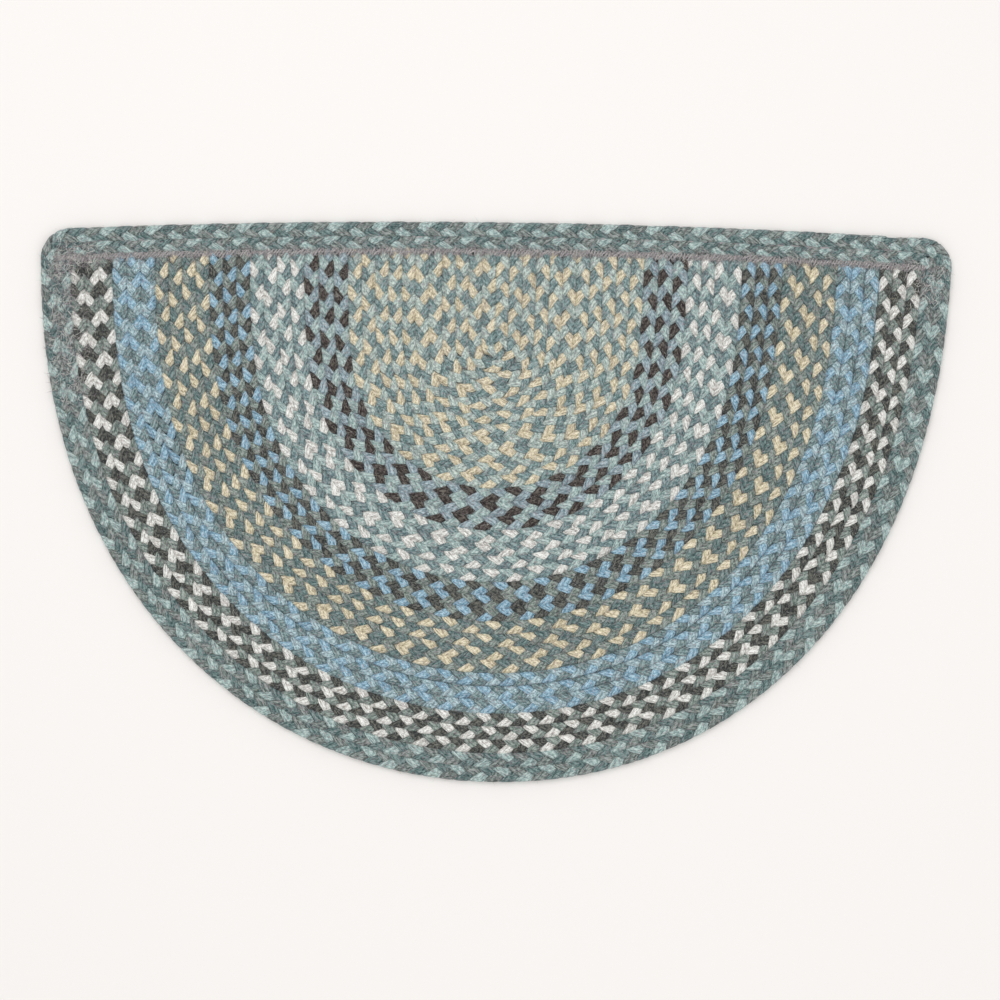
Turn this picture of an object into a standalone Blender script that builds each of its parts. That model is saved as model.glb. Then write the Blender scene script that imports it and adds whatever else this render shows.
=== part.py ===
"""Half-round braided jute doormat.

Three-strand braids lie side by side and are laced into a flat half-round mat. The field is a
nest of U-shaped rows round a short straight spine, in seven lengths of braid with their own
colours. Two turns of border braid run right round it, past the cut ends of the U-shaped rows.

Sizes are in metres and +Z is up. The straight edge faces +Y, and the origin is on the floor
under the middle of the mat. In the plan, a place is given as (across, depth): across is
measured to the right of the middle, and depth from the crown of the straight edge.
"""

import math

import bmesh
import bpy

# ---- Driving sizes ------------------------------------------------------------------------

MAT_DEPTH = 0.449  # from the crown of the straight edge to the foot of the round edge
SPINE_LENGTH = 0.100  # the straight line that the innermost row runs down and turns round
ACROSS_POWER = 2.055  # with DEPTH_POWER also 2, the round edge is half an ellipse
DEPTH_POWER = 2.31  # and more makes its shoulders fuller
SWAY = 0.0169  # the mat's middle line sways a little, as a hand-laced mat does
SWAY_CROSSINGS = (0.073, 0.786)  # where that line crosses the frame's, as shares of MAT_DEPTH
BOW_RADIUS = 6.7  # the straight edge is bowed a little, as a hand-laced edge is
BOW_CROWN_ACROSS = -0.080  # where the bowed edge is highest

CREST_HEIGHT = 0.0085  # along the middle of each braid
SHOULDER_HEIGHT = 0.0079
VALLEY_HEIGHT = 0.0056  # where two braids are laced together
SEAM_HEIGHT = 0.0062  # the cut ends, pressed down under their seam
SHOULDER_SHARE = 0.23  # a shoulder's distance from the braid's edge, over the braid's width
PIECE_GAP = 0.0003

BORDER_ROW = 0.0117  # width of a border braid round the curve
BORDER_ROW_STRAIGHT = 0.0107  # its width along the straight edge, where it is sewn tighter
BORDER_COLOUR = (0.23, 0.28, 0.27)
CORNER_RADIUS = 0.022  # at both ends of the straight edge
SEAM_LENGTH = 0.006  # how far the seam reaches over the cut ends
RIM_PROFILE = (  # the round outer side of the rim, as (inset, height)
    (0.0016, 0.0),
    (0.0, 0.0034),
    (0.0008, 0.0062),
)

TURN_STATIONS = 38  # cross-sections round the turn of every row, at the same places in all
CORNER_STATIONS = 5
STRAIGHT_STATIONS = 14

# Lengths of field braid from the spine outwards. Row width is measured along the straight
# edge.
FIELD_BRAIDS = (
    # name, rows, row width, colour
    ("field_centre", 11, 0.01086, (0.40, 0.41, 0.36)),
    ("band_brown", 3, 0.01187, (0.20, 0.24, 0.25)),
    ("band_white", 4, 0.01092, (0.39, 0.44, 0.42)),
    ("band_charcoal", 3, 0.01103, (0.19, 0.24, 0.25)),
    ("band_straw", 4, 0.01089, (0.31, 0.32, 0.27)),
    ("band_blue", 3, 0.01144, (0.25, 0.35, 0.37)),
    ("band_black_white", 3, 0.01124, (0.29, 0.31, 0.29)),
)

BRAID_ROUGHNESS = 0.95
SHARP_ANGLE = math.radians(55)  # steeper edges than this stay sharp in the shading

# ---- Sizes worked out from them -----------------------------------------------------------

FIELD_REACH = sum(rows * row_width for _, rows, row_width, _ in FIELD_BRAIDS)
HALF_WIDTH = FIELD_REACH + 2 * BORDER_ROW
BORDER_DEPTH = 2 * BORDER_ROW_STRAIGHT  # from the straight edge to the cut ends
LEFT = "left"
RIGHT = "right"


# ---- Plan ---------------------------------------------------------------------------------


def round_edge(angle):
    """A point of the round edge, from angle 0 at its left end to pi at its right end."""
    cosine = math.cos(angle)
    across = -math.copysign(abs(cosine) ** (2 / ACROSS_POWER), cosine) * HALF_WIDTH
    return across, MAT_DEPTH * math.sin(angle) ** (2 / DEPTH_POWER)


def spine_depth(edge_depth):
    """Where the spoke to that depth of the round edge leaves the spine."""
    share = min(edge_depth / (2 * SPINE_LENGTH), 1)
    return SPINE_LENGTH * (1 - (1 - share) ** 2)


def row_point(reach, angle):
    """A point of the row line that meets the straight edge at that reach from the spine."""
    edge_across, edge_depth = round_edge(angle)
    start = spine_depth(edge_depth)
    share = reach / HALF_WIDTH
    return share * edge_across, start + share * (edge_depth - start)


def straight_edge_depth(across):
    """The depth of the bowed straight edge there."""
    return (across - BOW_CROWN_ACROSS) ** 2 / (2 * BOW_RADIUS)


def crossing_angle(reach, side, below):
    """The angle at which a row line is that far below the straight edge, on one side."""
    low = 0
    high = math.pi / 2
    for _ in range(40):
        middle = (low + high) / 2
        across, depth = row_point(reach, middle if side == LEFT else math.pi - middle)
        if depth < straight_edge_depth(across) + below:
            low = middle
        else:
            high = middle
    return low if side == LEFT else math.pi - low


def row_angles(reach, below):
    """The angles of a row line's stations, from its left end round to its right end.

    The row line ends that far below the straight edge. Its second station is always at the
    far side of the seam, so that neighbouring lines turn at the same places.
    """
    seam = BORDER_DEPTH + PIECE_GAP / 2 + SEAM_LENGTH
    first, last = (crossing_angle(reach, side, below) for side in (LEFT, RIGHT))
    left, right = (crossing_angle(reach, side, seam) for side in (LEFT, RIGHT))
    step = (right - left) / TURN_STATIONS
    turn = [left + index * step for index in range(TURN_STATIONS + 1)]
    return [first, *turn, last]


def corner_radius(inset):
    """The corner's radius on a line that lies that far inside the mat's edge."""
    innermost = 2 * BORDER_ROW - PIECE_GAP / 2
    return CORNER_RADIUS * max(0, 1 - inset / innermost)


def border_line(inset):
    """A closed line right round the mat, that far inside its edge."""
    radius = corner_radius(inset)
    below = inset * BORDER_ROW_STRAIGHT / BORDER_ROW
    reach = HALF_WIDTH - inset
    angles = row_angles(reach, below + radius)
    sides = [row_point(reach, angle) for angle in angles]
    left = sides[0][0] + radius
    right = sides[-1][0] - radius
    quarter = [math.pi / 2 * index / CORNER_STATIONS for index in range(1, CORNER_STATIONS)]
    right_corner = [
        (right + radius * math.cos(turn), radius * (1 - math.sin(turn))) for turn in quarter
    ]
    left_corner = [
        (left - radius * math.sin(turn), radius * (1 - math.cos(turn))) for turn in quarter
    ]
    step = (left - right) / STRAIGHT_STATIONS
    straight = [(right + index * step, 0) for index in range(STRAIGHT_STATIONS + 1)]
    top = [
        (across, straight_edge_depth(across) + below + drop)
        for across, drop in right_corner + straight + left_corner
    ]
    return sides + top


def field_line(reach):
    """An open U-shaped line of the field, between the cut ends of its row."""
    angles = row_angles(reach, BORDER_DEPTH + PIECE_GAP / 2)
    return [row_point(reach, angle) for angle in angles]


# ---- Cross-sections -----------------------------------------------------------------------


def rib(start, width):
    """The top of one braid, after its first valley, as (place across the row, height)."""
    shoulder = SHOULDER_SHARE * width
    return [
        (start + shoulder, SHOULDER_HEIGHT),
        (start + width / 2, CREST_HEIGHT),
        (start + width - shoulder, SHOULDER_HEIGHT),
        (start + width, VALLEY_HEIGHT),
    ]


def field_profile(inner, rows, row_width):
    """The cross-section of a length of field braid, from its inner foot to its outer foot."""
    outer = inner + rows * row_width
    inner_side = inner + PIECE_GAP / 2 if inner else 0
    outer_side = outer - PIECE_GAP / 2
    top = [(inner_side, VALLEY_HEIGHT)]
    for row in range(rows):
        top += rib(inner + row * row_width, row_width)
    top[-1] = (outer_side, VALLEY_HEIGHT)
    return [(inner_side, 0), *top, (outer_side, 0)]


def border_profile(turn):
    """The cross-section of one turn of border braid. Turn 0 is the rim of the mat."""
    outer = turn * BORDER_ROW
    inner_side = outer + BORDER_ROW - PIECE_GAP / 2
    outer_side = outer + PIECE_GAP / 2
    sides = RIM_PROFILE if turn == 0 else ((outer_side, 0), (outer_side, VALLEY_HEIGHT))
    top = [*sides, *rib(outer, BORDER_ROW)]
    top[-1] = (inner_side, VALLEY_HEIGHT)
    return [*top, (inner_side, 0)]


# ---- Meshes -------------------------------------------------------------------------------


def place(across, depth, height):
    """A point of the plan in the mat's own frame."""
    share = depth / MAT_DEPTH
    sway = SWAY * (share - SWAY_CROSSINGS[0]) * (share - SWAY_CROSSINGS[1])
    return across + sway, MAT_DEPTH / 2 - depth, height


def skin(mesh, lines, closed_section):
    """Joins neighbouring lines with quads. A closed section joins its last line to its first."""
    count = len(lines) if closed_section else len(lines) - 1
    for index in range(count):
        one = lines[index]
        other = lines[(index + 1) % len(lines)]
        for here in range(len(one) - 1):
            mesh.faces.new((one[here], one[here + 1], other[here + 1], other[here]))


def finish_piece(name, mesh, colour):
    """Welds what meets, turns all faces outwards and makes the object with its material."""
    bmesh.ops.remove_doubles(mesh, verts=mesh.verts, dist=PIECE_GAP / 100)
    bmesh.ops.recalc_face_normals(mesh, faces=mesh.faces)
    data = bpy.data.meshes.new(name)
    mesh.to_mesh(data)
    mesh.free()
    data.shade_smooth()
    data.set_sharp_from_angle(angle=SHARP_ANGLE)
    data.materials.append(braid_material(name, colour))
    piece = bpy.data.objects.new(name, data)
    bpy.context.scene.collection.objects.link(piece)
    return piece


def make_field_braid(name, inner, rows, row_width, colour):
    """A U-shaped length of braid: its ribbed top, flat underside, sides and two cut ends."""
    mesh = bmesh.new()
    lines = []
    for reach, height in field_profile(inner, rows, row_width):
        plan = field_line(reach)
        heights = [height] * len(plan)
        heights[0] = heights[-1] = min(height, SEAM_HEIGHT)
        lines.append([mesh.verts.new(place(*at, z)) for at, z in zip(plan, heights)])
    if inner:
        skin(mesh, lines, closed_section=True)
    else:
        skin(mesh, lines[1:] + lines[:1], closed_section=False)
    mesh.faces.new([line[0] for line in lines])
    mesh.faces.new([line[-1] for line in lines])
    return finish_piece(name, mesh, colour)


def make_border_braid(name, turn):
    """A closed turn of braid round the whole mat."""
    mesh = bmesh.new()
    lines = []
    for inset, height in border_profile(turn):
        line = [mesh.verts.new(place(*at, height)) for at in border_line(inset)]
        lines.append([*line, line[0]])
    skin(mesh, lines, closed_section=True)
    return finish_piece(name, mesh, BORDER_COLOUR)


def braid_material(name, colour):
    """Dry, matt jute in the piece's average colour."""
    material = bpy.data.materials.new(name)
    material.use_nodes = True
    shader = material.node_tree.nodes["Principled BSDF"]
    shader.inputs["Base Color"].default_value = (*colour, 1)
    shader.inputs["Roughness"].default_value = BRAID_ROUGHNESS
    shader.inputs["Metallic"].default_value = 0
    return material


# ---- The mat ------------------------------------------------------------------------------


def clear_scene():
    for old in list(bpy.data.objects):
        bpy.data.objects.remove(old)


def make_mat():
    inner = 0
    for name, rows, row_width, colour in FIELD_BRAIDS:
        make_field_braid(name, inner, rows, row_width, colour)
        inner += rows * row_width
    make_border_braid("border_inner", 1)
    make_border_braid("border_outer", 0)


clear_scene()
make_mat()
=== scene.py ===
# %% [markdown]
# # A half-round braided jute doormat
#
# The real mat is made from long three-strand braids of dyed jute. Rows of braid lie edge to
# edge and are laced together into one thin, ribbed cloth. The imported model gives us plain
# ribbed solids in the right places. This lesson dresses them with real braids: every strand is
# a tube that crosses over and under its neighbours.
#
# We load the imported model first, because everything else is measured from it.

# %% Load the frame
import math

import bpy
import numpy as np
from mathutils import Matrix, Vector
from mathutils.kdtree import KDTree


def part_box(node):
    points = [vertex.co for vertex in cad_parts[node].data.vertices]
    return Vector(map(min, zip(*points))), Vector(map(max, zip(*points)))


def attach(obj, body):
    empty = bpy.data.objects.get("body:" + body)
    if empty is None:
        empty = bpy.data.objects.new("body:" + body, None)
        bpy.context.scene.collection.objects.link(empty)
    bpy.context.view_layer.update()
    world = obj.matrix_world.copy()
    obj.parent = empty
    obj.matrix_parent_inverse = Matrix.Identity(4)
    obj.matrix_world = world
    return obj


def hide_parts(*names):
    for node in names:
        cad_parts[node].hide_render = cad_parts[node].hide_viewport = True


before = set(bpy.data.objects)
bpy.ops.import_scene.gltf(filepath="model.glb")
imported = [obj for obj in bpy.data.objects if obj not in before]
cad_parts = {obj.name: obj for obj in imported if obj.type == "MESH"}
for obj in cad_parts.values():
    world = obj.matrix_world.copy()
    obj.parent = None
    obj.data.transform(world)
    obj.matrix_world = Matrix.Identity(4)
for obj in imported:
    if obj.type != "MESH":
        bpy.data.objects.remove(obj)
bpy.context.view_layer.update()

# %% [markdown]
# ## Measuring the mat
#
# The frame tells us how wide and deep the mat is, and where each length of braid ends. At the
# foot of the round edge every row crosses the mat's middle line, so the lowest Y of a band's
# box says how far out its last row lies. From that we work out the places of all the rows.

# %% Sizes from the frame
low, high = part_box("border_outer")
MAT_WIDTH = high[0] - low[0]
MAT_DEPTH = high[1] - low[1]
HALF_WIDTH = MAT_WIDTH / 2
SPINE_LENGTH = 0.100  # the straight line that the innermost row is folded round

FIELD_NODES = (
    "field_centre",
    "band_brown",
    "band_white",
    "band_charcoal",
    "band_straw",
    "band_blue",
    "band_black_white",
)


def share_reached(node):
    """How far out a band's last row lies: 0 at the spine, 1 at the round edge."""
    lowest = MAT_DEPTH / 2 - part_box(node)[0][1]
    return (lowest - SPINE_LENGTH) / (MAT_DEPTH - SPINE_LENGTH)


shares = {node: share_reached(node) for node in FIELD_NODES}
print(f"mat {MAT_WIDTH:.4f} x {MAT_DEPTH:.4f} m")
print({node: round(share, 4) for node, share in shares.items()})

# %% [markdown]
# ## The plan of the rows
#
# A half-round mat starts from a short fold in the middle of its straight edge. Each row runs
# down one side of the last row, round its end and up the other side. The round edge is close
# to half an ellipse, so we take it as a superellipse, and draw spokes from the spine to that
# edge. A row is the line through the same share of every spoke. One short formula then gives
# all thirty-three rows, and they can never cross.
#
# The straight edge is slightly bowed and the middle line sways a little, because hand lacing
# is never quite even.

# %% The plan
ACROSS_POWER = 2.055  # 2 is an ellipse, and more is squarer
DEPTH_POWER = 2.31
SWAY = 0.0169
SWAY_CROSSINGS = (0.073, 0.786)  # where the sway is nothing, as shares of the depth
BOW_RADIUS = 6.7
BOW_CROWN_ACROSS = -0.080
PLAN_SAMPLES = 4000


def row_plan(share):
    """Points (across, depth) of one row line, from its left end round to its right end."""
    angle = np.linspace(0, np.pi, PLAN_SAMPLES)
    cosine = np.cos(angle)
    edge_across = -np.sign(cosine) * np.abs(cosine) ** (2 / ACROSS_POWER) * HALF_WIDTH
    edge_depth = MAT_DEPTH * np.sin(angle).clip(0) ** (2 / DEPTH_POWER)
    start = SPINE_LENGTH * (1 - (1 - (edge_depth / (2 * SPINE_LENGTH)).clip(0, 1)) ** 2)
    return np.stack([share * edge_across, start + share * (edge_depth - start)], axis=1)


def straight_edge(across):
    """The depth of the bowed straight edge."""
    return (across - BOW_CROWN_ACROSS) ** 2 / (2 * BOW_RADIUS)


def below_edge(plan, drop):
    """The part of a row line that lies at least that far below the straight edge."""
    return plan[plan[:, 1] >= straight_edge(plan[:, 0]) + drop]


def to_frame(plan):
    """Plan points as X and Y in the frame, with the sway."""
    share = plan[:, 1] / MAT_DEPTH
    sway = SWAY * (share - SWAY_CROSSINGS[0]) * (share - SWAY_CROSSINGS[1])
    return np.stack([plan[:, 0] + sway, MAT_DEPTH / 2 - plan[:, 1]], axis=1)


def length_of(line):
    return float(np.linalg.norm(np.diff(line, axis=0), axis=1).sum())


print(f"round edge {length_of(to_frame(row_plan(1.0))):.3f} m")

# %% [markdown]
# ## Where the rows of each band run
#
# The border is two braids that go right round the mat. Along the straight edge they are sewn
# tighter, and the cut ends of the field rows stop against them under a seam. A border row is
# its side line, two rounded corners and the bowed straight edge, joined into one loop.

# %% Row lines
BORDER_ROW = (1 - shares["band_black_white"]) * HALF_WIDTH / 2
BORDER_ROW_STRAIGHT = 0.0107
BORDER_DEPTH = 2 * BORDER_ROW_STRAIGHT
CORNER_RADIUS = 0.022
CORNER_POINTS = 40
STRAIGHT_POINTS = 1200


def field_rows(node, rows):
    """The centre lines of a band's rows, from its inner row outwards, and the row width."""
    index = FIELD_NODES.index(node)
    inner = shares[FIELD_NODES[index - 1]] if index else 0.0
    width = (shares[node] - inner) / rows
    middles = [inner + (row + 0.5) * width for row in range(rows)]
    lines = [to_frame(below_edge(row_plan(share), BORDER_DEPTH)) for share in middles]
    return lines, width * HALF_WIDTH


def border_row(turn):
    """The closed centre line of one border braid. Turn 0 is the rim."""
    inset = (turn + 0.5) * BORDER_ROW
    radius = CORNER_RADIUS * (1 - inset / (2 * BORDER_ROW))
    below = (turn + 0.5) * BORDER_ROW_STRAIGHT
    sides = below_edge(row_plan(1 - inset / HALF_WIDTH), below + radius)
    left, right = sides[0, 0] + radius, sides[-1, 0] - radius
    quarter = np.linspace(0, np.pi / 2, CORNER_POINTS)[1:-1]
    across = np.concatenate([
        right + radius * np.cos(quarter),
        np.linspace(right, left, STRAIGHT_POINTS),
        left - radius * np.sin(quarter),
    ])
    drop = np.concatenate([
        radius * (1 - np.sin(quarter)),
        np.zeros(STRAIGHT_POINTS),
        radius * (1 - np.cos(quarter)),
    ])
    top = np.stack([across, straight_edge(across) + below + drop], axis=1)
    return to_frame(np.concatenate([sides, top, sides[:1]]))


print(f"border row {BORDER_ROW:.4f} m wide, {length_of(border_row(0)):.3f} m round")

# %% [markdown]
# ## The colours of the braids
#
# Every braid is plaited from three strands of different colours, and a new band starts where
# the maker changed to other colours. One table holds them all. The period is the length of
# braid in which a strand crosses from one side to the other and back. A row's start says how
# much of a period has gone by where the row begins, so it sets how the colours of neighbouring
# rows meet: level, in arrowheads or in steps.
#
# Where the strands of a braid ran out, the maker spliced new ones on, and from there on the
# colours lie a little further along or further back. A second table holds those splices. Each
# is spread over some ten centimetres, because a maker never ends all three strands together.

# %% Colour plan
BANDS = {
    # node: (colours in the order they come up, (start, period) of each row from the inside)
    "field_centre": (
        ("pale_sage", "straw", "blue_teal"),
        ((0.76, 0.0320), (0.21, 0.0341), (0.87, 0.0340), (0.90, 0.0348), (0.21, 0.0352),
         (0.57, 0.0347), (0.12, 0.0346), (0.13, 0.0349), (0.21, 0.0355), (0.92, 0.0349),
         (0.16, 0.0350))),
    "band_brown": (
        ("dark_brown", "pale_aqua", "blue_grey"),
        ((0.86, 0.0379), (0.91, 0.0379), (0.05, 0.0377))),
    "band_white": (
        ("off_white", "pale_aqua", "mid_teal"),
        ((0.44, 0.0374), (0.52, 0.0371), (0.77, 0.0370), (0.42, 0.0369))),
    "band_charcoal": (
        ("charcoal", "grey_green", "sky_blue"),
        ((0.57, 0.0341), (0.44, 0.0339), (0.35, 0.0337))),
    "band_straw": (
        ("straw", "dark_teal", "grey_green"),
        ((0.18, 0.0356), (0.94, 0.0356), (0.77, 0.0357), (0.94, 0.0356))),
    "band_blue": (
        ("pale_blue", "sky_blue", "mid_teal"),
        ((0.48, 0.0339), (0.03, 0.0339), (0.65, 0.0342))),
    "band_black_white": (
        ("off_white", "charcoal", "grey_green"),
        ((0.36, 0.0338), (0.80, 0.0339), (0.33, 0.0337))),
}
BORDERS = {
    # node: (turn, colours, (start, period))
    "border_inner": (1, ("pale_aqua", "heather_teal", "dark_teal"), (0.78, 0.0365)),
    "border_outer": (0, ("pale_aqua", "heather_teal", "dark_teal"), (0.38, 0.0367)),
}
SPLICES = {
    # node: (how far along new strands are spliced on, periods gained there in each row)
    "band_charcoal": (0.62, (-0.17, -0.17, -0.19)),
    "band_blue": (0.11, (-0.31, -0.30, 0.12)),
    "band_black_white": (0.85, (0.20, -0.44, 0.05)),
    "border_inner": (1.22, (0.42,)),
    "border_outer": (1.22, (0.43,)),
}
SPLICE_LENGTH = 0.10
STRANDS = 3
print("strand colours:", sorted({c for band in BANDS.values() for c in band[0]}))
print("spliced on the way:", sorted(SPLICES))

# %% [markdown]
# ## Asking a row for its places
#
# A braid follows its row's centre line, so we need a place and a side direction at any
# distance along it. A curve object could give them, but a small class answers for thousands
# of places at once. The wander makes hand work a little uneven.

# %% Rows and wander
LOOK_AHEAD = 0.0005
WANDER_SINES = (0.6, 1.1, 1.6)  # their lengths, as shares of the wavelength
WANDER_LENGTHS = (0.8, 0.4)  # each is 0.8 times that or up to 0.4 times more


class Row:
    """A row's centre line, which can tell its place and direction anywhere."""

    def __init__(self, line, closed=False):
        steps = np.linalg.norm(np.diff(line, axis=0), axis=1)
        self.along = np.concatenate([[0], np.cumsum(steps)])
        self.length = float(self.along[-1])
        self.line = line
        self.closed = closed

    def at(self, distance):
        """Places, and the directions ahead and to the left, at these distances."""
        places = [self.place(distance + shift) for shift in (-LOOK_AHEAD, 0, LOOK_AHEAD)]
        ahead = places[2] - places[0]
        ahead /= np.linalg.norm(ahead, axis=1, keepdims=True)
        return places[1], ahead, np.stack([-ahead[:, 1], ahead[:, 0]], axis=1)

    def place(self, distance):
        if self.closed:
            distance = distance % self.length
        return np.stack(
            [np.interp(distance, self.along, self.line[:, k]) for k in range(2)], axis=1
        )


def wander(rng, at, size, wavelength):
    """A slow, smooth random wave along a row, made of three sines of unlike lengths."""
    total = np.zeros_like(at)
    least, more = WANDER_LENGTHS
    for share in WANDER_SINES:
        step = wavelength * share * (least + more * rng.random())
        total += np.sin(2 * np.pi * (at / step + rng.random()))
    return size * total / len(WANDER_SINES)


print(f"the inner border is {Row(border_row(1), True).length:.3f} m round")

# %% [markdown]
# ## How a three-strand braid moves
#
# Follow one strand of a flat braid. It lies on top while it runs in from an edge, dives under
# the next strand in the middle of the braid, runs out to the other edge below, folds round that
# edge and comes back on top. The other two strands do the same a third of a period later. So
# one wave gives the swing from side to side, and a squarer wave of twice the speed gives the
# two layers. Placing each crossing by hand would take thousands of points.

# %% The braid's two waves
SWING = 0.43  # how far out the fold lies, as a share of the row's width
CORNER_SHARPNESS = 0.95  # 0 turns in a sine at the edge, and 1 in a sharp corner
SWING_LEAD = 0.08  # how early it crosses the middle, in periods: it runs in faster than out
LAYER = 0.0018  # half the distance between the two layers
LAYER_SHARPNESS = 1.6


def swing_wave(turn):
    """How far to the side a strand lies, from -1 to 1, and how fast it goes there."""
    led = turn + 2 * np.pi * (SWING_LEAD * np.cos(turn) ** 2)
    bend = CORNER_SHARPNESS * np.sin(led)
    swing = np.arcsin(bend) / np.arcsin(CORNER_SHARPNESS)
    speed = CORNER_SHARPNESS * np.cos(led) * (1 - 2 * np.pi * SWING_LEAD * np.sin(2 * turn))
    return swing, speed / (np.sqrt(1 - bend ** 2) * np.arcsin(CORNER_SHARPNESS))


def layer_wave(turn):
    """How far above the middle a strand lies, and how fast it comes up."""
    layer = np.tanh(LAYER_SHARPNESS * np.sin(2 * turn)) / np.tanh(LAYER_SHARPNESS)
    speed = -2 * LAYER * LAYER_SHARPNESS * np.cos(2 * turn) * (1 - layer ** 2)
    return -LAYER * layer, speed


swings, _ = swing_wave(2 * np.pi * np.array([0.0, 0.125, 0.25]))
print("swing after 0, 1/8 and 1/4 of a period:", swings.round(2))

# %% [markdown]
# ## The section of a strand
#
# A strand is a soft, flat bundle. It folds at the edge like a ribbon, along a line that lies
# along the row, so we give it sections that lie along the row too. That makes the clean
# arrowheads where the folds of two neighbouring rows meet. A section is an ellipse in the
# middle of the braid, squarer at a fold, and broadest between the two, where the strand lies
# free. Its points run the way round that makes the tube's faces point out. A tube that is
# inside out can look right in a render, but whatever grows along its normals grows inwards.

# %% A strand's section
FOLD_REACH = 0.95  # a section's half-length along the row, over a sixth of a period
BORDER_FOLD_REACH = 1.14  # the border's folds lie closer, so the rim is even
MIDDLE_REACH = 0.75
FOLD_POWER = 6  # more is a shorter fold
BULGE = 0.45  # how much broader a strand is halfway across, where it lies free
HALF_THICKNESS = 0.0023
FOLD_HALF_THICKNESS = 0.0017
MIDDLE_FULLNESS = 0.95  # 1 is an ellipse, and less is squarer
FOLD_FULLNESS = 0.65
SIDES = 10


def between(middle, fold, share):
    """A value that changes from the middle of the braid to the fold."""
    return middle + (fold - middle) * share


def rounded(wave, fullness):
    return np.sign(wave) * np.abs(wave) ** fullness


def sections(turn, period, plump, border):
    """The points of each section, as distances along the row and through the strand."""
    fold = np.abs(np.sin(turn)) ** FOLD_POWER
    reach = between(MIDDLE_REACH, BORDER_FOLD_REACH if border else FOLD_REACH, fold)
    reach = period / (2 * STRANDS) * plump * reach * (1 + BULGE * np.sin(2 * turn) ** 2)
    thick = between(HALF_THICKNESS, FOLD_HALF_THICKNESS, fold)
    fullness = between(MIDDLE_FULLNESS, FOLD_FULLNESS, fold)[:, None]
    around = -2 * np.pi * np.arange(SIDES) / SIDES
    along = reach[:, None] * rounded(np.cos(around), fullness)
    return along, thick[:, None] * rounded(np.sin(around), fullness)


at_fold, _ = sections(np.array([np.pi / 2]), 0.035, 1, False)
print(f"at a fold a strand reaches {np.ptp(at_fold) * 1000:.1f} mm along its row")

# %% [markdown]
# ## One strand
#
# A strand's stations lie closer together at the folds, where it bends most. At each one we
# read the two waves, turn the section to face the way that the strand moves, and tilt it a
# little in the middle, where each strand overlaps the next. The leaves' places, the strand's
# girth and its height wander a little. The cut ends of a field row are pressed flat, because
# the seam will hold them down.

# %% A strand of a row
STATIONS_PER_PERIOD = 16
STATIONS_AT_FOLD = 0.45  # how much closer together they lie at a fold
FINE_STATIONS = 40  # the fine steps for each, to look up where the first and last lie
MIDDLE_HEIGHT = 0.00425
MIDDLE_TILT = 0.33  # the slope of a section there
LEAF_WANDER = (0.015, 0.09)  # its size in periods, and its wavelength
GIRTH_WANDER = (0.05, 0.03)  # its size as a share of the girth
HEIGHT_WANDER = (0.0001, 0.04)
SEAM_LENGTH = 0.006
SEAM_PRESS = 0.74  # how much of its height a cut end keeps under the seam


def crowd(periods):
    """Moves evenly spaced stations towards the folds."""
    return periods + STATIONS_AT_FOLD * np.sin(4 * np.pi * periods) / (4 * np.pi)


def stations(first, periods):
    """Where the sections lie, in periods."""
    steps = round(periods * STATIONS_PER_PERIOD)
    fine = np.linspace(first - 0.5, first + periods + 0.5, FINE_STATIONS * steps)
    ends = np.interp((first, first + periods), crowd(fine), fine)
    return crowd(np.linspace(*ends, steps + 1))


def spliced(at, splice):
    """The periods gained so far, where the maker spliced new strands on."""
    place, gained = splice
    share = ((at - place) / SPLICE_LENGTH).clip(0, 1)
    return gained * share * share * (3 - 2 * share)


def press_at_ends(at, length):
    """How high each station stands: it is pressed flat at both cut ends."""
    share = (np.minimum(at, length - at) / SEAM_LENGTH).clip(0, 1)
    return SEAM_PRESS + (1 - SEAM_PRESS) * share


def strand(row, width, start, period, splice, number, rng, border):
    """One strand of a row's braid: its rings and how many periods it has run at each."""
    first = start - number / STRANDS
    periods = stations(first, row.length / period)
    at = (periods - first) * period
    periods = periods + wander(rng, at, *LEAF_WANDER) + spliced(at, splice)
    turn = 2 * np.pi * periods
    swing, outward = (SWING * width * wave for wave in swing_wave(turn))
    rise, upward = layer_wave(turn)
    facing = np.arctan2(outward, upward)[:, None]
    along, through = sections(turn, period, 1 + wander(rng, at, *GIRTH_WANDER), border)
    place, ahead, side = row.at(at)
    out = swing[:, None] + through * np.cos(facing)
    level = place[:, None] + ahead[:, None] * along[..., None] + side[:, None] * out[..., None]
    tilt = MIDDLE_TILT * np.cos(turn) ** 2
    height = rise[:, None] - through * np.sin(facing) - tilt[:, None] * along
    height += (MIDDLE_HEIGHT + wander(rng, at, *HEIGHT_WANDER))[:, None]
    press = 1.0 if border else press_at_ends(at, row.length)[:, None]
    rings = np.concatenate([level, (height * press).clip(0)[..., None]], axis=2)
    return rings, periods


print(f"{STATIONS_PER_PERIOD * SIDES * 2} triangles in one period of a strand")

# %% [markdown]
# ## From rings to a mesh
#
# All strands of a band become one mesh, with one material slot for each colour. We collect
# the rings of every strand, make the quads with array sums, and cap both ends so that each
# strand is closed. The same step lays out a UV map. Along a strand it repeats every few
# periods, and each colour has a strip of its own, so one small texture tile of yarn can serve
# the whole band. A bevelled curve could make a tube too, but only with one section, and ours
# changes at every fold.

# %% Mesh builder
def add_object(name, data):
    """A new object in the scene, with that mesh, light or camera in it."""
    thing = bpy.data.objects.new(name, data)
    bpy.context.scene.collection.objects.link(thing)
    return thing


def mesh_piece(name, points, faces, slots, materials):
    """A mesh object with one material slot number for each face."""
    mesh = bpy.data.meshes.new(name)
    mesh.from_pydata(points.tolist(), [], faces)
    mesh.polygons.foreach_set("material_index", slots)
    for material in materials:
        mesh.materials.append(material)
    return add_object(name, mesh)


def triangles(*made):
    return sum(len(face.vertices) - 2 for piece in made for face in piece.data.polygons)


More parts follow.
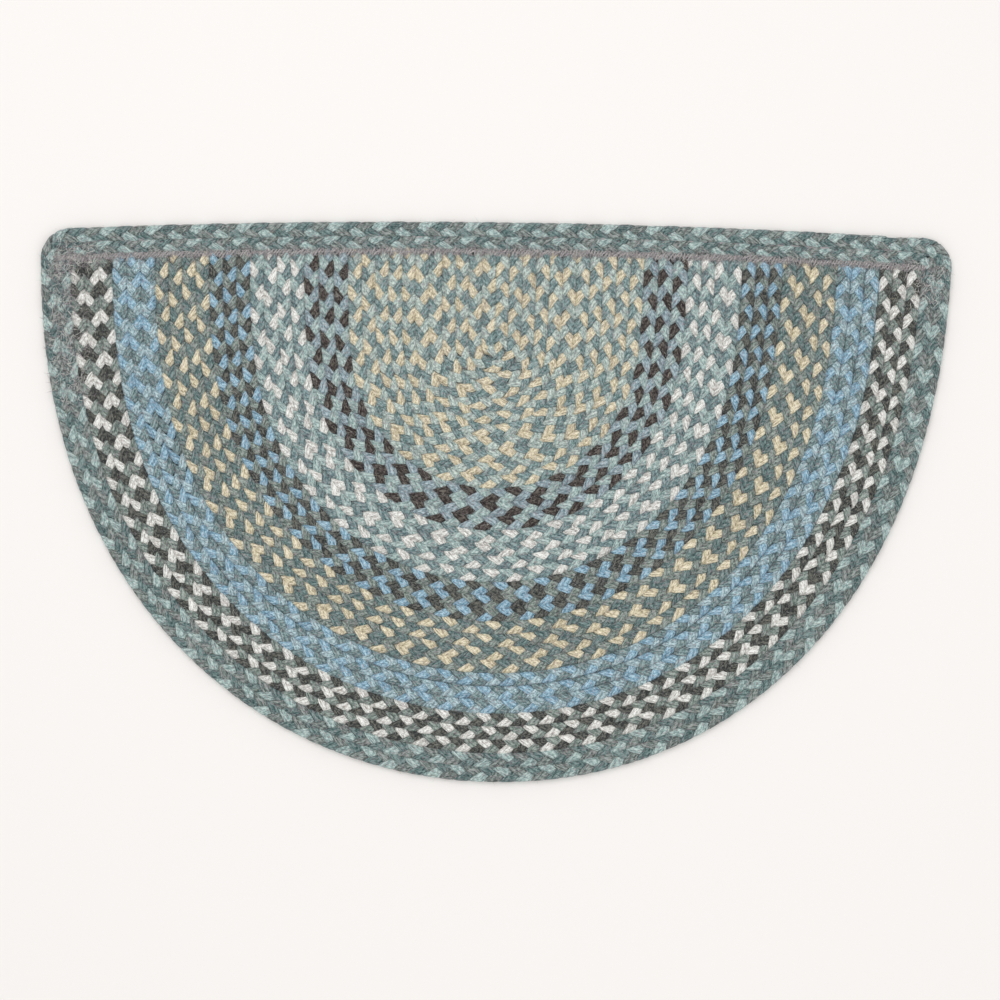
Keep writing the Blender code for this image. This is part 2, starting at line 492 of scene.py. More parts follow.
class MeshParts:
    """Collects tubes and turns them into one mesh object."""

    def __init__(self):
        self.points, self.faces, self.slots, self.uvs = [], [], [], []
        self.count = 0

    def add_tube(self, rings, slot, along, strip=0, strips=1):
        """A capped tube. Along gives each ring's U, and V runs round it, across one strip."""
        rows, sides, _ = rings.shape
        across = (strip + np.arange(sides + 1) / sides) / strips
        self.points.append(rings.reshape(-1, 3))
        self.add_sides(rows, sides, along, across)
        for ring, u, order in ((0, along[0], 1), (rows - 1, along[-1], -1)):
            self.faces.append((np.arange(sides)[::order] + ring * sides + self.count).tolist())
            self.uvs.append(np.stack([np.full(sides, u), across[:-1]], 1)[::order])
        self.slots += [slot] * ((rows - 1) * sides + 2)
        self.count += rows * sides

    def add_sides(self, rows, sides, along, across):
        """The quads between neighbouring rings, with their corners on the map."""
        here = np.arange(rows - 1)[:, None] * sides
        one = np.arange(sides)[None]
        two = (one + 1) % sides
        quads = np.stack([here + one, here + two, here + sides + two, here + sides + one], -1)
        u0, u1 = (np.repeat(u, sides) for u in (along[:-1], along[1:]))
        v0, v1 = (np.tile(v, rows - 1) for v in (across[:-1], across[1:]))
        uv = np.stack([u0, v0, u0, v1, u1, v1, u1, v0], -1).reshape(-1, 4, 2)
        self.faces += (quads.reshape(-1, 4)[:, ::-1] + self.count).tolist()
        self.uvs.append(uv[:, ::-1].reshape(-1, 2))

    def finish(self, name, materials):
        """One smooth mesh object made of everything collected."""
        piece = mesh_piece(name, np.concatenate(self.points), self.faces, self.slots, materials)
        uvs = np.concatenate(self.uvs).astype(np.float32).ravel()
        piece.data.uv_layers.new(name="OFBake").data.foreach_set("uv", uvs)
        piece.data.shade_smooth()
        return piece


trial = MeshParts()
trial.add_tube(np.zeros((3, SIDES, 3)), 0, np.zeros(3))
print("faces in a tube of three rings:", len(trial.faces))

# %% [markdown]
# ## Small helpers for nodes
#
# A dye is easiest to name in the 0 to 255 numbers of a colour picker, but a shader works in
# linear light, so one helper converts them. The others add a node or a material in one line.

# %% Node helpers
def srgb(red, green, blue):
    """A colour from 0 to 255 in each channel, as the linear numbers that shaders use."""
    return tuple(((c / 255 + 0.055) / 1.055) ** 2.4 for c in (red, green, blue)) + (1.0,)


def add_node(tree, kind, **settings):
    node = tree.nodes.new(kind)
    for name, value in settings.items():
        setattr(node, name, value)
    return node


def maths(tree, operation, *values):
    """A Math node. Each value is a number or another node's output."""
    node = add_node(tree, "ShaderNodeMath", operation=operation)
    for socket, value in zip(node.inputs, values):
        if isinstance(value, (int, float)):
            socket.default_value = value
        else:
            tree.links.new(value, socket)
    return node.outputs[0]


def colour_ramp(tree, value, places, colours):
    """The colour for that value, from a ramp with these colours at these places."""
    node = add_node(tree, "ShaderNodeValToRGB")
    elements = node.color_ramp.elements
    for place in places[1:-1]:
        elements.new(place)
    for element, place, colour in zip(elements, places, colours):
        element.position = place
        element.color = srgb(*colour)
    tree.links.new(value, node.inputs[0])
    return node.outputs[0]


def new_material(name):
    """A new material, its node tree and its main shader."""
    material = bpy.data.materials.new(name)
    material.use_nodes = True
    return material, material.node_tree, material.node_tree.nodes["Principled BSDF"]


print("a colour of 128 is", round(srgb(128, 128, 128)[0], 3), "in linear light")

# %% [markdown]
# ## The yarns in a strand
#
# A jute strand is a loose bundle of yarns, and each yarn is a twist of dry, dusty fibres. We
# see three scales: the round yarns with dark grooves between them, the heathered colour that
# changes every few millimetres along a yarn, and fine fibres. The yarns wind slowly round the
# strand, so their ridges are one sine of both UV directions, and slow noise makes them drift.
# The tone adds the noises to the ridges, which paints light on the yarns' crowns and shade in
# the grooves between them, and it darkens towards a strand's two edges, where it turns down,
# as painted shade. Flecks are the peaks of a noise of their own.
#
# Noise that is read on a circle comes back to where it began. So we turn both UV directions
# into circles and read noise in four dimensions, and the yarn tile repeats with no seam. It is
# one node group, because every colour of jute shares it.

# %% The yarn pattern
YARNS = 8
NOISES = {
    # name: (radius along the strand, radius round it, detail, seed)
    "fibre": (12.0, 9.0, 2.0, 0.0),
    "heather": (27.0, 4.0, 1.0, 20.0),
    "fleck": (26.0, 3.8, 1.0, 40.0),
    "slow": (2.5, 0.6, 1.0, 60.0),
}
NOISE_ROUGHNESS = 0.6
YARN_DRIFT = 2.0
RIDGE_POWER = 0.6  # less makes flatter yarns with narrower grooves between them
TONE_GAINS = {"heather": 2.4, "fibre": 0.8, "slow": 0.6}
GROOVE_SHADE_TONE, RIDGE_LIGHT_TONE = 0.25, 0.38  # the painted shade's tone in a groove, and how much painted light a ridge's crown adds
EDGE_SHADE_POWER = 14.0  # more makes the painted shade along a strand's two edges narrower
# Painted shade along a strand's edges, where it turns down towards the next strand, and a small
# lift of the whole tone.
EDGE_SHADE_TONE, MIDDLE_TONE = -0.42, 0.01
FIBRE_HEIGHT = 0.8
FLECKS_FROM, FLECKS_TO = 0.54, 0.62  # the noise at which a fleck starts, and is full


def circle_noise(tree, circles, around_u, around_v, detail, seed):
    """Noise on the two circles, with that radius along and round the strand."""
    cos_u, sin_u, cos_v, sin_v = circles
    place = add_node(tree, "ShaderNodeCombineXYZ")
    for socket, value, radius in zip(
        place.inputs, (cos_u, sin_u, cos_v), (around_u, around_u, around_v)
    ):
        tree.links.new(maths(tree, "MULTIPLY_ADD", value, radius, seed), socket)
    noise = add_node(tree, "ShaderNodeTexNoise", noise_dimensions="4D")
    noise.inputs["Scale"].default_value = 1.0
    noise.inputs["Detail"].default_value = detail
    noise.inputs["Roughness"].default_value = NOISE_ROUGHNESS
    tree.links.new(place.outputs[0], noise.inputs["Vector"])
    tree.links.new(maths(tree, "MULTIPLY_ADD", sin_v, around_v, seed), noise.inputs["W"])
    return noise.outputs["Fac"]


def yarn_ridges(tree, u, v, slow):
    """The yarns' round tops: 1 on a yarn's crown and 0 in the groove beside it."""
    lay = maths(tree, "MULTIPLY_ADD", v, -YARNS, maths(tree, "MULTIPLY", u, YARNS))
    lay = maths(tree, "ADD", lay, maths(tree, "MULTIPLY", slow, YARN_DRIFT))
    wave = maths(tree, "SINE", maths(tree, "MULTIPLY", lay, math.pi))
    return maths(tree, "POWER", maths(tree, "ABSOLUTE", wave), RIDGE_POWER)


def yarn_tone(tree, noises, ridge, cos_v):
    """How light the jute is, with painted shade: about 0 in a groove and about 1 on the
    lightest fibres.
    """
    # Painted light on the yarns' crowns and painted shade in the grooves between them.
    tone = maths(tree, "MULTIPLY_ADD", ridge, RIDGE_LIGHT_TONE, GROOVE_SHADE_TONE)
    for name, gain in TONE_GAINS.items():
        wave = maths(tree, "MULTIPLY_ADD", noises[name], gain, -gain / 2)
        tone = maths(tree, "ADD", tone, wave)
    # Painted shade towards a strand's two edges, where it turns down.
    edge = maths(tree, "POWER", maths(tree, "ABSOLUTE", cos_v), EDGE_SHADE_POWER)
    return maths(tree, "ADD", tone, maths(tree, "MULTIPLY_ADD", edge, EDGE_SHADE_TONE, MIDDLE_TONE))


def yarn_pattern():
    """A node group with the yarns' height, the tone of their colour and their flecks."""
    tree = bpy.data.node_groups.new("jute_yarns", "ShaderNodeTree")
    for name in ("Height", "Tone", "Fleck"):
        tree.interface.new_socket(name, in_out="OUTPUT", socket_type="NodeSocketFloat")
    uv = add_node(tree, "ShaderNodeUVMap", uv_map="OFBake")
    split = add_node(tree, "ShaderNodeSeparateXYZ")
    tree.links.new(uv.outputs[0], split.inputs[0])
    u = split.outputs[0]
    v = maths(tree, "MULTIPLY", split.outputs[1], STRANDS)
    turns = [maths(tree, "MULTIPLY", part, math.tau) for part in (u, v)]
    circles = [maths(tree, wave, turn) for turn in turns for wave in ("COSINE", "SINE")]
    noises = {name: circle_noise(tree, circles, *shape) for name, shape in NOISES.items()}
    ridge = yarn_ridges(tree, u, v, noises["slow"])
    specks = add_node(tree, "ShaderNodeMapRange", interpolation_type="SMOOTHSTEP")
    specks.inputs["From Min"].default_value = FLECKS_FROM
    specks.inputs["From Max"].default_value = FLECKS_TO
    tree.links.new(noises["fleck"], specks.inputs["Value"])
    out = add_node(tree, "NodeGroupOutput")
    height = maths(tree, "MULTIPLY_ADD", noises["fibre"], FIBRE_HEIGHT, ridge)
    tone = yarn_tone(tree, noises, ridge, circles[2])
    for name, value in (("Height", height), ("Tone", tone), ("Fleck", specks.outputs[0])):
        tree.links.new(value, out.inputs[name])
    return tree


yarns = yarn_pattern()
print("yarn pattern nodes:", len(yarns.nodes))

# %% [markdown]
# ## The dyed colours
#
# A hank of jute isn't dyed evenly. The body has the dye's colour, and fibres that took less dye
# are lighter. The darkest colour is painted shade in the grooves between yarns and along a
# strand's edges, and the yarns' crowns get painted light. Flecks are bits of bark and of other
# yarn. A ramp turns the pattern's tone into the dark painted shade, the body and the light
# fibres, and the flecks are half mixed in over them, so one function and a table make all the
# strands and threads. Jute is dry and matt, so it is rough, with little shine and a touch of
# sheen from its fine hairs.

# %% The dyed colours
MAUVE = (150, 134, 140)
EARTH = (132, 128, 116)
DYES = {
    # name: (painted shade in the grooves and at the edges, body, light fibres, flecks), each as
    # red, green, blue
    "straw": ((150, 138, 112), (208, 198, 168), (244, 234, 210), (168, 148, 138)),
    "pale_sage": ((110, 128, 124), (166, 182, 176), (212, 225, 217), MAUVE),
    "pale_aqua": ((98, 118, 117), (150, 173, 170), (198, 215, 210), MAUVE),
    "pale_blue": ((92, 115, 121), (146, 173, 180), (198, 220, 224), MAUVE),
    "blue_teal": ((64, 84, 85), (108, 133, 133), (160, 182, 181), MAUVE),
    "dark_brown": ((26, 19, 18), (46, 37, 36), (98, 89, 85), EARTH),
    "blue_grey": ((84, 101, 108), (133, 154, 161), (184, 201, 206), MAUVE),
    "off_white": ((154, 151, 145), (214, 214, 208), (250, 250, 246), (178, 162, 160)),
    "mid_teal": ((58, 79, 82), (101, 125, 128), (156, 178, 177), MAUVE),
    "charcoal": ((28, 30, 29), (55, 59, 58), (108, 109, 103), EARTH),
    "sky_blue": ((80, 113, 133), (129, 168, 188), (184, 214, 228), (156, 152, 164)),
    "grey_green": ((64, 76, 72), (114, 128, 122), (168, 180, 172), MAUVE),
    "dark_teal": ((46, 66, 67), (88, 112, 111), (136, 157, 154), MAUVE),
    "heather_teal": ((60, 70, 68), (110, 122, 118), (162, 171, 167), MAUVE),
    "thread": ((138, 126, 131), (196, 183, 188), (234, 226, 228), (110, 116, 116)),
    "pale_thread": ((160, 151, 154), (216, 208, 210), (246, 242, 240), MAUVE),
    "dark_thread": ((122, 114, 117), (174, 165, 168), (214, 208, 208), MAUVE),
}
TONE_STOPS = (0.05, 0.5, 0.95)  # the tones of the painted groove shade, the body and the light fibres
FLECK_STRENGTH = 0.5
GROOVE_ROUGHNESS = 0.95
LIGHT_POLISH = 0.12  # how much smoother the lightest fibres are
BUMP_STRENGTH = 0.7
BUMP_HEIGHT = 0.00034


def jute(name, groove_shade, body, light, fleck):
    """Dyed jute: its shades by the yarns' tone, with painted shade and light, its flecks, and
    the yarns as bump.
    """
    material, tree, shader = new_material("jute_" + name)
    pattern = add_node(tree, "ShaderNodeGroup", node_tree=yarns)
    tone = pattern.outputs["Tone"]
    # The ramp's darkest colour is painted shade for the grooves and a strand's edges.
    shade = colour_ramp(tree, tone, TONE_STOPS, (groove_shade, body, light))
    mix = add_node(tree, "ShaderNodeMix", data_type="RGBA")
    amount = maths(tree, "MULTIPLY", pattern.outputs["Fleck"], FLECK_STRENGTH)
    tree.links.new(amount, mix.inputs[0])
    tree.links.new(shade, mix.inputs[6])
    mix.inputs[7].default_value = srgb(*fleck)
    tree.links.new(mix.outputs[2], shader.inputs["Base Color"])
    rough = maths(tree, "MULTIPLY_ADD", tone, -LIGHT_POLISH, GROOVE_ROUGHNESS)
    tree.links.new(rough, shader.inputs["Roughness"])
    bump = add_node(tree, "ShaderNodeBump")
    bump.inputs["Strength"].default_value = BUMP_STRENGTH
    bump.inputs["Distance"].default_value = BUMP_HEIGHT
    tree.links.new(pattern.outputs["Height"], bump.inputs["Height"])
    tree.links.new(bump.outputs[0], shader.inputs["Normal"])
    shader.inputs["Specular IOR Level"].default_value = 0.25
    shader.inputs["Sheen Weight"].default_value = 0.15
    shader.inputs["Sheen Roughness"].default_value = 0.6
    return material


jutes = {name: jute(name, *shades) for name, shades in DYES.items()}
print(len(jutes), "dyed jutes")

# %% [markdown]
# ## Plaiting the field
#
# Now each band of the field is made from its row lines: three strands to a row, in the band's
# three colours, all joined into one mesh. Every strand starts at its own place on the yarn
# tile, so no two look alike. We measure the length of each strand too.

# %% Field braids
rng = np.random.default_rng(7)
TILE_PERIODS = 5  # the periods of braid that one tile of yarn serves
TILE_SHIFTS = 7  # a strand may start anywhere within this many tiles
pieces = {}
strand_lengths = {}


def plait(parts, node, line, width, start, period, splice, closed):
    """Adds a row's three strands. In a closed row they have run whole periods at the end."""
    row = Row(line, closed)
    if closed:
        whole = round(row.length / period + splice[1])
        period = row.length / (whole - splice[1])
    for number in range(STRANDS):
        rings, periods = strand(row, width, start, period, splice, number, rng, closed)
        along = periods / TILE_PERIODS + rng.random() * TILE_SHIFTS
        parts.add_tube(rings, number, along, number, STRANDS)
        strand_lengths.setdefault(node, []).append(length_of(rings.mean(axis=1)))
    return row.length


def finish_braid(parts, node, colours, length):
    pieces[node] = parts.finish(node + "_braid", [jutes[colour] for colour in colours])
    print(node, f"{length:.2f} m of braid,", triangles(pieces[node]), "triangles")


for node, (colours, rows) in BANDS.items():
    parts = MeshParts()
    lines, width = field_rows(node, len(rows))
    place, gains = SPLICES.get(node, (0.0, (0.0,) * len(rows)))
    length = sum(
        plait(parts, node, line, width, *row, (place, gained), False)
        for line, row, gained in zip(lines, rows, gains)
    )
    finish_braid(parts, node, colours, length)

# %% [markdown]
# ## Plaiting the border
#
# The border is the same three-strand braid, but it goes right round the mat and meets itself.
# A part of a period left over would make the colours jump there, so the period is changed by
# a hair until a whole number of them goes round.

# %% Border braids
for node, (turn, colours, braid) in BORDERS.items():
    parts = MeshParts()
    place, gains = SPLICES[node]
    line = border_row(turn)
    length = plait(parts, node, line, BORDER_ROW, *braid, (place, gains[0]), True)
    finish_braid(parts, node, colours, length)

# %% [markdown]
# ## Lacing
#
# A thin mauve-grey cord holds the rows together. It runs along every joint between two rows
# and goes through a fold of one braid, then of the other. It lies low, so little of it shows,
# but it closes the joints. It could be a curve object with a bevel, but a mesh of four-sided
# tubes is lighter and joins all thirty-three runs into one piece.

# %% Lacing cord
LACING_RADIUS = 0.0011
LACING_HEIGHT = 0.0034
LACING_STITCH = 0.0116
LACING_SWING = 0.0011
LACING_DIP = 0.0006
LACING_WANDER = (0.6, 0.08)  # its size in radians of a stitch, and its wavelength
LACING_RUN_ON = 0.002  # how far it runs on under the border
BORDER_LIFT = 0.0020  # it shows more between the two border braids
LACING_STEP = 0.0039
LACING_SIDES = 4
THREAD_TILE = 0.03
TOP_JOINT_POINTS = 900


def round_tube(path, radius, sides):
    """Rings of points round a thread's path."""
    ahead = np.gradient(path, axis=0)
    ahead /= np.linalg.norm(ahead, axis=1, keepdims=True)
    side = np.cross(ahead, (0, 0, 1.0)) + (1e-9, 0, 0)  # never nothing, even on a steep path
    side /= np.linalg.norm(side, axis=1, keepdims=True)
    up = np.cross(side, ahead)
    turn = 2 * np.pi * (np.arange(sides) + 0.5) / sides
    ring = side[:, None] * np.cos(turn)[:, None] + up[:, None] * np.sin(turn)[:, None]
    return path[:, None] + radius * ring


def lacing(parts, line, lift=0.0):
    """Adds the cord in one joint. It weaves from side to side and dips at each stitch."""
    row = Row(line)
    at = np.linspace(0, row.length, round(row.length / LACING_STEP))
    place, _, side = row.at(at)
    turn = 2 * np.pi * (at / LACING_STITCH + rng.random()) + wander(rng, at, *LACING_WANDER)
    swing = LACING_SWING * np.sin(turn)
    height = LACING_HEIGHT + lift + LACING_DIP * np.cos(2 * turn)
    path = np.concatenate([place + side * swing[:, None], height[:, None]], axis=1)
    parts.add_tube(round_tube(path, LACING_RADIUS, LACING_SIDES), 0, at / THREAD_TILE)


def joint_shares():
    """Where the joints lie: 0 at the spine, 1 at the round edge."""
    found = []
    inner = 0.0
    for node, (_, rows) in BANDS.items():
        step = (shares[node] - inner) / len(rows)
        found += [inner + (row + 1) * step for row in range(len(rows))]
        inner = shares[node]
    return [*found, 1 - BORDER_ROW / HALF_WIDTH]


joint_lines = [
    to_frame(below_edge(row_plan(share), BORDER_DEPTH - LACING_RUN_ON))
    for share in joint_shares()
]
parts = MeshParts()
for line in joint_lines:
    lacing(parts, line)
across = np.linspace(-HALF_WIDTH + CORNER_RADIUS, HALF_WIDTH - CORNER_RADIUS, TOP_JOINT_POINTS)
top_joint = to_frame(np.stack([across, straight_edge(across) + BORDER_ROW_STRAIGHT], axis=1))
lacing(parts, top_joint, BORDER_LIFT)
lacing_cord = parts.finish("lacing_cord", [jutes["thread"]])
print("lacing:", len(joint_lines) + 1, "runs,", triangles(lacing_cord), "triangles")

# %% [markdown]
# ## The seam
#
# Where the cut ends of the field rows meet the border, the maker sews them over and over, once
# with a pale mauve-grey thread and once with a darker one. The two passes lean opposite ways,
# and their stitches lie so close that they make a fuzzy strip. A flat ribbon with a stitched
# bump would be cheaper, but the strip's light and dark come from the gaps between stitches,
# so each stitch is a short arch of its own.

# %% Seam stitches
STITCH_PITCH = 0.0024
STITCH_REACH = 0.0029  # half the seam's width
STITCH_RADIUS = 0.0006
STITCH_CREST = 0.0082
STITCH_FOOT = 0.0052
STITCH_ARCH = 0.7  # less makes the arch of a stitch squarer
STITCH_JITTER = (0.22, 0.4, 0.0005, 0.00025)  # of its reach, its lean, its place, its height
STITCH_TILE_STEP = 0.37  # how much further along the tile each stitch starts
STITCH_STATIONS = 7
STITCH_SIDES = 5
SEAM_STEP_IN = 0.0016  # how far the seam's middle lies inside the border
SEAM_LEFT = BORDER_ROW - HALF_WIDTH
SEAM_RIGHT = HALF_WIDTH - 1.6 * BORDER_ROW  # it ends earlier on the right
SEAM_POINTS = 600
PASSES = ((1, 0.0, 0.6), (0, 0.5, -0.9))  # (thread, start and lean in stitches)
seam_middle = BORDER_DEPTH + SEAM_STEP_IN


def stitches(parts, slot, start, lean):
    """One pass of slanting stitches along the straight edge."""
    swing = np.linspace(-1, 1, STITCH_STATIONS)
    arch = np.cos(swing * np.pi / 2) ** STITCH_ARCH
    tile = np.linspace(0, 2 * STITCH_REACH / THREAD_TILE, STITCH_STATIONS)
    for index in range(int((SEAM_RIGHT - SEAM_LEFT) / STITCH_PITCH)):
        longer, slanted, moved, lifted = rng.normal(0, 1, 4) * STITCH_JITTER
        half = STITCH_REACH * (1 + longer)
        x = SEAM_LEFT + (index + start) * STITCH_PITCH
        x = x + lean * swing * STITCH_PITCH * (1 + slanted)
        depth = straight_edge(x) + seam_middle + moved + half * swing
        height = STITCH_FOOT + (STITCH_CREST - STITCH_FOOT) * arch + lifted
        path = np.concatenate([to_frame(np.stack([x, depth], 1)), height[:, None]], axis=1)
        tube = round_tube(path, STITCH_RADIUS, STITCH_SIDES)
        parts.add_tube(tube, slot, index * STITCH_TILE_STEP + tile)


across = np.linspace(SEAM_LEFT, SEAM_RIGHT, SEAM_POINTS)
seam_line = to_frame(np.stack([across, straight_edge(across) + seam_middle], axis=1))
parts = MeshParts()
for slot, start, lean in PASSES:
    stitches(parts, slot, start, lean)
seam = parts.finish("seam_stitches", [jutes["pale_thread"], jutes["dark_thread"]])
print(f"seam {length_of(seam_line):.3f} m long,", triangles(seam), "triangles")

# %% [markdown]
# ## One loose fibre
#
# Jute is hairy. Short fibres stand out of every strand, and they soften the mat's outline and
# grey its colours a little. Particle hair would do this too, but a mesh of narrow ribbons is
# exported with the rest. Each ribbon starts just under a strand's surface, follows it for a
# few millimetres, bends a little and lifts off. It only grows where the surface is high and
# faces up, because fibres underneath are never seen.

# %% Fibre ribbons
FIBRE_LENGTH = 0.0055
SHORTEST_FIBRE, MORE_FIBRE = 0.4, 1.2  # 0.4 times that length or up to 1.2 times more
FIBRE_WIDTH = 0.00011
FIBRE_LIFT = 0.0007
FIBRE_BEND = 0.18  # as a share of its length
FIBRE_ROOT = 0.0002  # how deep it starts
FIBRE_FOOT, FIBRE_TOP = 0.0004, 0.0096
FIBRE_TAPER = (1, 1, 0.3)
MIDDLE_BEND, TIP_LIFT = 0.3, 0.5  # how much of the bend and of the lift it has there
UPPER_HEIGHT = 0.0058
UPPER_FACING = 0.35


def upper_surface(sources):
    """The points on top of these pieces, and which way the surface faces at each."""
    points, normals = [], []
    for piece in sources:
        mesh = piece.data
        both = np.empty((2, len(mesh.vertices) * 3), np.float32)
        mesh.vertices.foreach_get("co", both[0])
        mesh.vertices.foreach_get("normal", both[1])
        place, normal = both.reshape(2, -1, 3)
        outer = (place[:, 2] > UPPER_HEIGHT) & (normal[:, 2] > UPPER_FACING)
        points.append(place[outer])
        normals.append(normal[outer])
    return np.concatenate(points), np.concatenate(normals)


def ribbons(start, normal, width):
    """Six points for each fibre: one edge from root to tip, then the other."""
    count = len(start)
    heading = rng.random(count) * 2 * np.pi
    ahead = np.stack([np.cos(heading), np.sin(heading), np.zeros(count)], 1)
    ahead -= normal * (ahead * normal).sum(1, keepdims=True)
    length = FIBRE_LENGTH * (SHORTEST_FIBRE + MORE_FIBRE * rng.random((count, 1)))
    lift = FIBRE_LIFT * rng.random((count, 1))
    bend = rng.normal(0, FIBRE_BEND, (count, 1)) * length
    side = np.cross(normal, ahead)
    root = start - normal * FIBRE_ROOT
    middle = start + ahead * length / 2 + side * bend * MIDDLE_BEND + normal * lift
    tip = start + ahead * length + side * bend + normal * lift * TIP_LIFT
    line = np.stack([root, middle, tip], 1)
    line[..., 2] = line[..., 2].clip(FIBRE_FOOT, FIBRE_TOP)
    half = side[:, None] * width / 2 * np.array(FIBRE_TAPER)[None, :, None]
    return np.concatenate([line - half, line + half], 1)


def fuzz(name, surface, chosen, materials, width=FIBRE_WIDTH):
    """Fine ribbons that grow from the chosen points of a surface."""
    points = ribbons(surface[0][chosen], surface[1][chosen], width)
    base = np.arange(len(chosen))[:, None, None] * 6
    faces = (base + np.array([[0, 1, 4, 3], [1, 2, 5, 4]])[None]).reshape(-1, 4)
    colours = np.repeat(rng.integers(0, len(materials), len(chosen)), 2)
    return mesh_piece(name, points.reshape(-1, 3), faces.tolist(), colours.tolist(), materials)


upper = upper_surface(pieces.values())
print(len(upper[0]), "points where a fibre can grow")

# %% [markdown]
# ## The fibres' colours
#
# Loose fibres come from every strand, so they are mixed: pale undyed ones, some dyed ones and
# the mauve of the thread. Plain noise between two shades is enough, because a fibre is too thin
# to show more, and it needs no UV map.

# %% Fibre materials
FIBRE_COLOURS = {
    "mauve": (182, 167, 174),
    "pale": (232, 231, 225),
    "teal": (124, 146, 144),
    "straw": (214, 206, 180),
    "dark_mauve": (96, 90, 95),
}
FIBRE_SHADE = 0.75  # the dark shade, as a share of the light one
SHADE_STOPS = (0.3, 0.7)
SHADE_SCALE = 260


def fibre_material(name, colour):
    """A fibre's two shades, changed by noise."""
    material, tree, shader = new_material("fibre_" + name)
    noise = add_node(tree, "ShaderNodeTexNoise")
    noise.inputs["Scale"].default_value = SHADE_SCALE
    dark = tuple(c * FIBRE_SHADE for c in colour)
    shade = colour_ramp(tree, noise.outputs["Fac"], SHADE_STOPS, (dark, colour))
    tree.links.new(shade, shader.inputs["Base Color"])
    shader.inputs["Roughness"].default_value = 0.9
    return material


fibres = {name: fibre_material(name, colour) for name, colour in FIBRE_COLOURS.items()}
print(len(fibres), "colours of fibre")

# %% [markdown]
# ## Where the fibres grow
#
# Some fibres are spread over the whole mat, and more lie where thread was pulled through: along
# the seam and every joint. The mat is worn most at its left corner, beside the end of the seam
# and down the outer rows. Several fibres cling together there, so those ribbons are wider. We
# scatter points close to a line and let each fibre grow from the nearest point of the surface.
# A painted density map could do it too, but lines follow by themselves when the rows change.

# %% Fuzz
FIBRES = 15000
SEAM_FIBRES = 8000
JOINT_FIBRES = 16000
SEAM_END_FIBRES = 550
OUTER_ROW_FIBRES = 825  # on each of the two outer joints
SEAM_SPREAD, JOINT_SPREAD, SEAM_END_SPREAD, OUTER_ROW_SPREAD = 0.0024, 0.0016, 0.0060, 0.0055
SEAM_END = 30  # how many of the seam line's points are worn
WORN_LENGTH = 0.10  # how much of an outer joint is worn, as a share of its points
WORN_CORNERS = (0.8, 0.2)  # how that is shared out between the left corner and the right
WORN_FIBRE_WIDTH = 0.00030


def near(line, count, spread):
    """Random places that lie close to a line."""
    row = Row(line)
    place, _, side = row.at(rng.random(count) * row.length)
    return place + side * rng.normal(0, spread, (count, 1))


def nearest(surface, places):
    """The surface points that lie nearest to these places, seen from above."""
    tree = KDTree(len(surface))
    for index, point in enumerate(surface):
        tree.insert((point[0], point[1], 0.0), index)
    tree.balance()
    return np.array([tree.find((x, y, 0.0))[1] for x, y in places])


def grow(name, surface, places, colours, width=FIBRE_WIDTH):
    """Fibres that grow from the surface close to these places."""
    chosen = nearest(surface[0], np.concatenate(places))
    return fuzz(name, surface, chosen, [fibres[colour] for colour in colours], width)


def worn_places():
    """Places close to the end of the seam and to both ends of the two outer joints."""
    places = [near(seam_line[:SEAM_END], SEAM_END_FIBRES, SEAM_END_SPREAD)]
    for line in joint_lines[-2:]:
        for end, part in zip((line, line[::-1]), WORN_CORNERS):
            corner = end[:int(WORN_LENGTH * part * len(line))]
            places.append(near(corner, int(OUTER_ROW_FIBRES * part), OUTER_ROW_SPREAD))
    return places


everywhere = rng.choice(len(upper[0]), FIBRES)
mixed = [fibres[colour] for colour in ("mauve", "pale", "teal", "straw")]
loose_fibres = fuzz("loose_fibres", upper, everywhere, mixed)
seam_upper = upper_surface([seam, pieces["border_inner"]])
along_seam = [near(seam_line, SEAM_FIBRES, SEAM_SPREAD)]
seam_fuzz = grow("seam_fuzz", seam_upper, along_seam, ("mauve", "pale", "pale", "teal"))
along_joints = [
    near(line, JOINT_FIBRES // len(joint_lines), JOINT_SPREAD) for line in joint_lines
]
joint_fuzz = grow("joint_fuzz", upper, along_joints, ("mauve", "dark_mauve", "pale"))
corner_fuzz = grow("corner_fuzz", upper, worn_places(),
                   ("mauve", "dark_mauve", "pale", "pale"), WORN_FIBRE_WIDTH)
fuzz_pieces = [loose_fibres, seam_fuzz, joint_fuzz, corner_fuzz]
print("fuzz:", triangles(*fuzz_pieces), "triangles")
print("all pieces:", triangles(*pieces.values(), lacing_cord, seam, *fuzz_pieces), "triangles")

# %% [markdown]
# ## Dressing the frame
#
# Every braid takes the place of the plain solid of its band, which is hidden. The lacing, the
# seam and the fibres stand for no solid of their own: they only ride on the mat's one body.

# %% Attach
for node, piece in pieces.items():
    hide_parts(node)
    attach(piece, "root")
for piece in (lacing_cord, seam, *fuzz_pieces):
    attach(piece, "root")
print(len(pieces), "solids replaced,", len(fuzz_pieces) + 2, "pieces ride along")
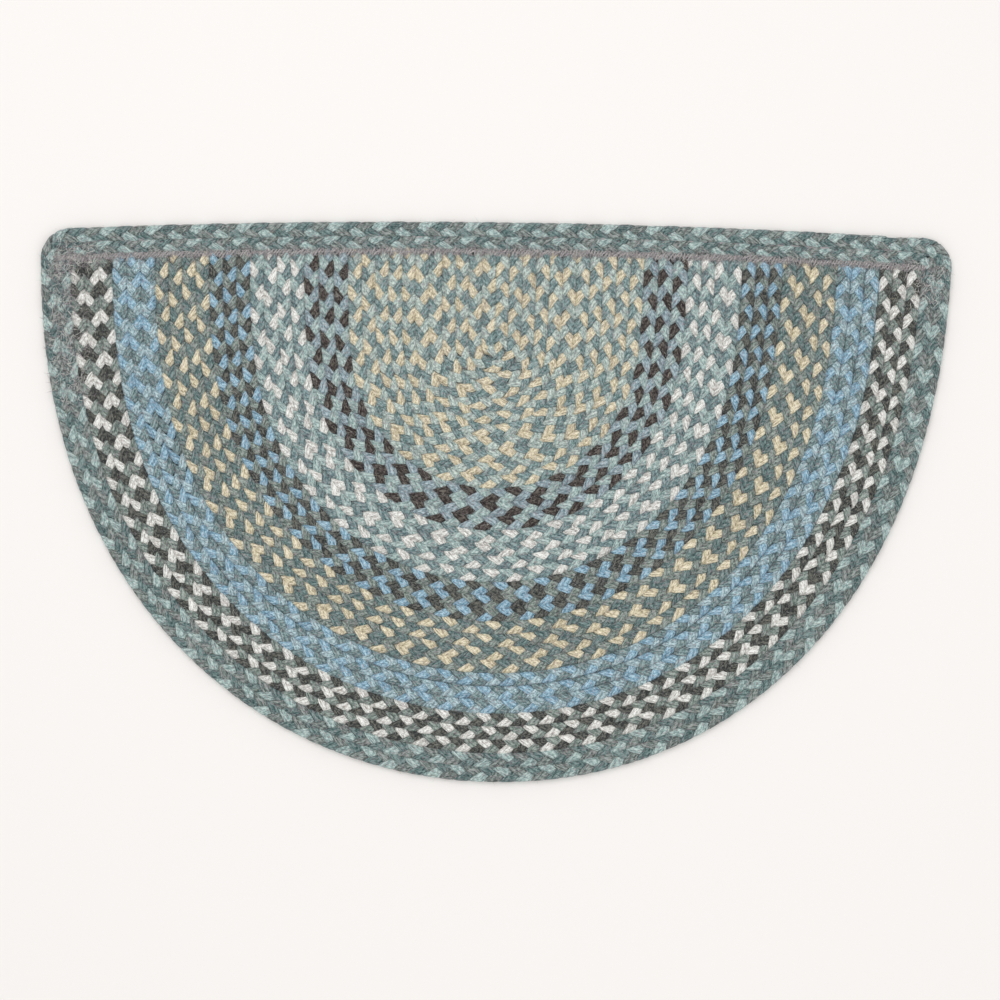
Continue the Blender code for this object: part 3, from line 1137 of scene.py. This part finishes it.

# %% [markdown]
# ## Cloth
#
# Each band of braid is a piece of cloth that lies on the floor. Undone and combed flat, its
# strands would lie side by side as narrow ribbons of jute. So a band's flat width is its number
# of strands times a ribbon's width, and its flat length is its longest strand. The strand
# lengths measured above would give its flat area, but the script doesn't work it out.

# %% [markdown]
# ## The floor
#
# The mat lies on a plain pale floor. One large plane is enough to catch its shadow. It isn't
# part of the mat.

# %% Floor
FLOOR_SIZE = 30
bpy.ops.mesh.primitive_plane_add(size=FLOOR_SIZE)
floor = bpy.context.object
floor.name = "floor"
paint, _, shader = new_material("floor_paint")
shader.inputs["Base Color"].default_value = srgb(245, 241, 238)
shader.inputs["Roughness"].default_value = 0.9
floor.data.materials.append(paint)
print("floor", FLOOR_SIZE, "m square")

# %% [markdown]
# ## The light
#
# A large, high light from the top left gives each braid a lit side, a weaker one from the
# other side opens the shadows, and an even white world does the rest. Small, hard lights
# would make every loose fibre sparkle.

# %% Lights
LIGHT_SIZE = 2.2
LIGHTS = {
    # name: (place, power)
    "window": ((-0.4, 0.9, 2.6), 27),
    "fill": ((0.9, -0.9, 2.4), 9),
}
WORLD_STRENGTH = 0.70
for name, (place, power) in LIGHTS.items():
    data = bpy.data.lights.new(name, "AREA")
    data.size = LIGHT_SIZE
    data.energy = power
    light = add_object(name, data)
    light.location = place
    light.rotation_euler = (-Vector(place)).to_track_quat("-Z", "Y").to_euler()
world = bpy.data.worlds.new("studio")
bpy.context.scene.world = world
world.use_nodes = True
background = world.node_tree.nodes["Background"]
background.inputs["Color"].default_value = (1, 1, 1, 1)
background.inputs["Strength"].default_value = WORLD_STRENGTH
bpy.context.scene.view_settings.view_transform = "Standard"
print(len(LIGHTS), "lights and a white world")

# %% [markdown]
# ## The camera
#
# The camera looks straight down with a long lens, so the mat's outline is not bent. Its height
# follows from how wide a view we want on top of the braids.

# %% Camera
VIEW_WIDTH = 0.8037
VIEW_CENTRE = (0.0030, 0.0016)
LENS = 100
SENSOR = 36
TOP_HEIGHT = 0.008
camera_data = bpy.data.cameras.new("camera")
camera_data.lens = LENS
camera_data.sensor_width = SENSOR
camera = add_object("camera", camera_data)
camera.location = (*VIEW_CENTRE, VIEW_WIDTH * LENS / SENSOR + TOP_HEIGHT)
bpy.context.scene.camera = camera
print(f"camera {camera.location.z:.2f} m above the floor")
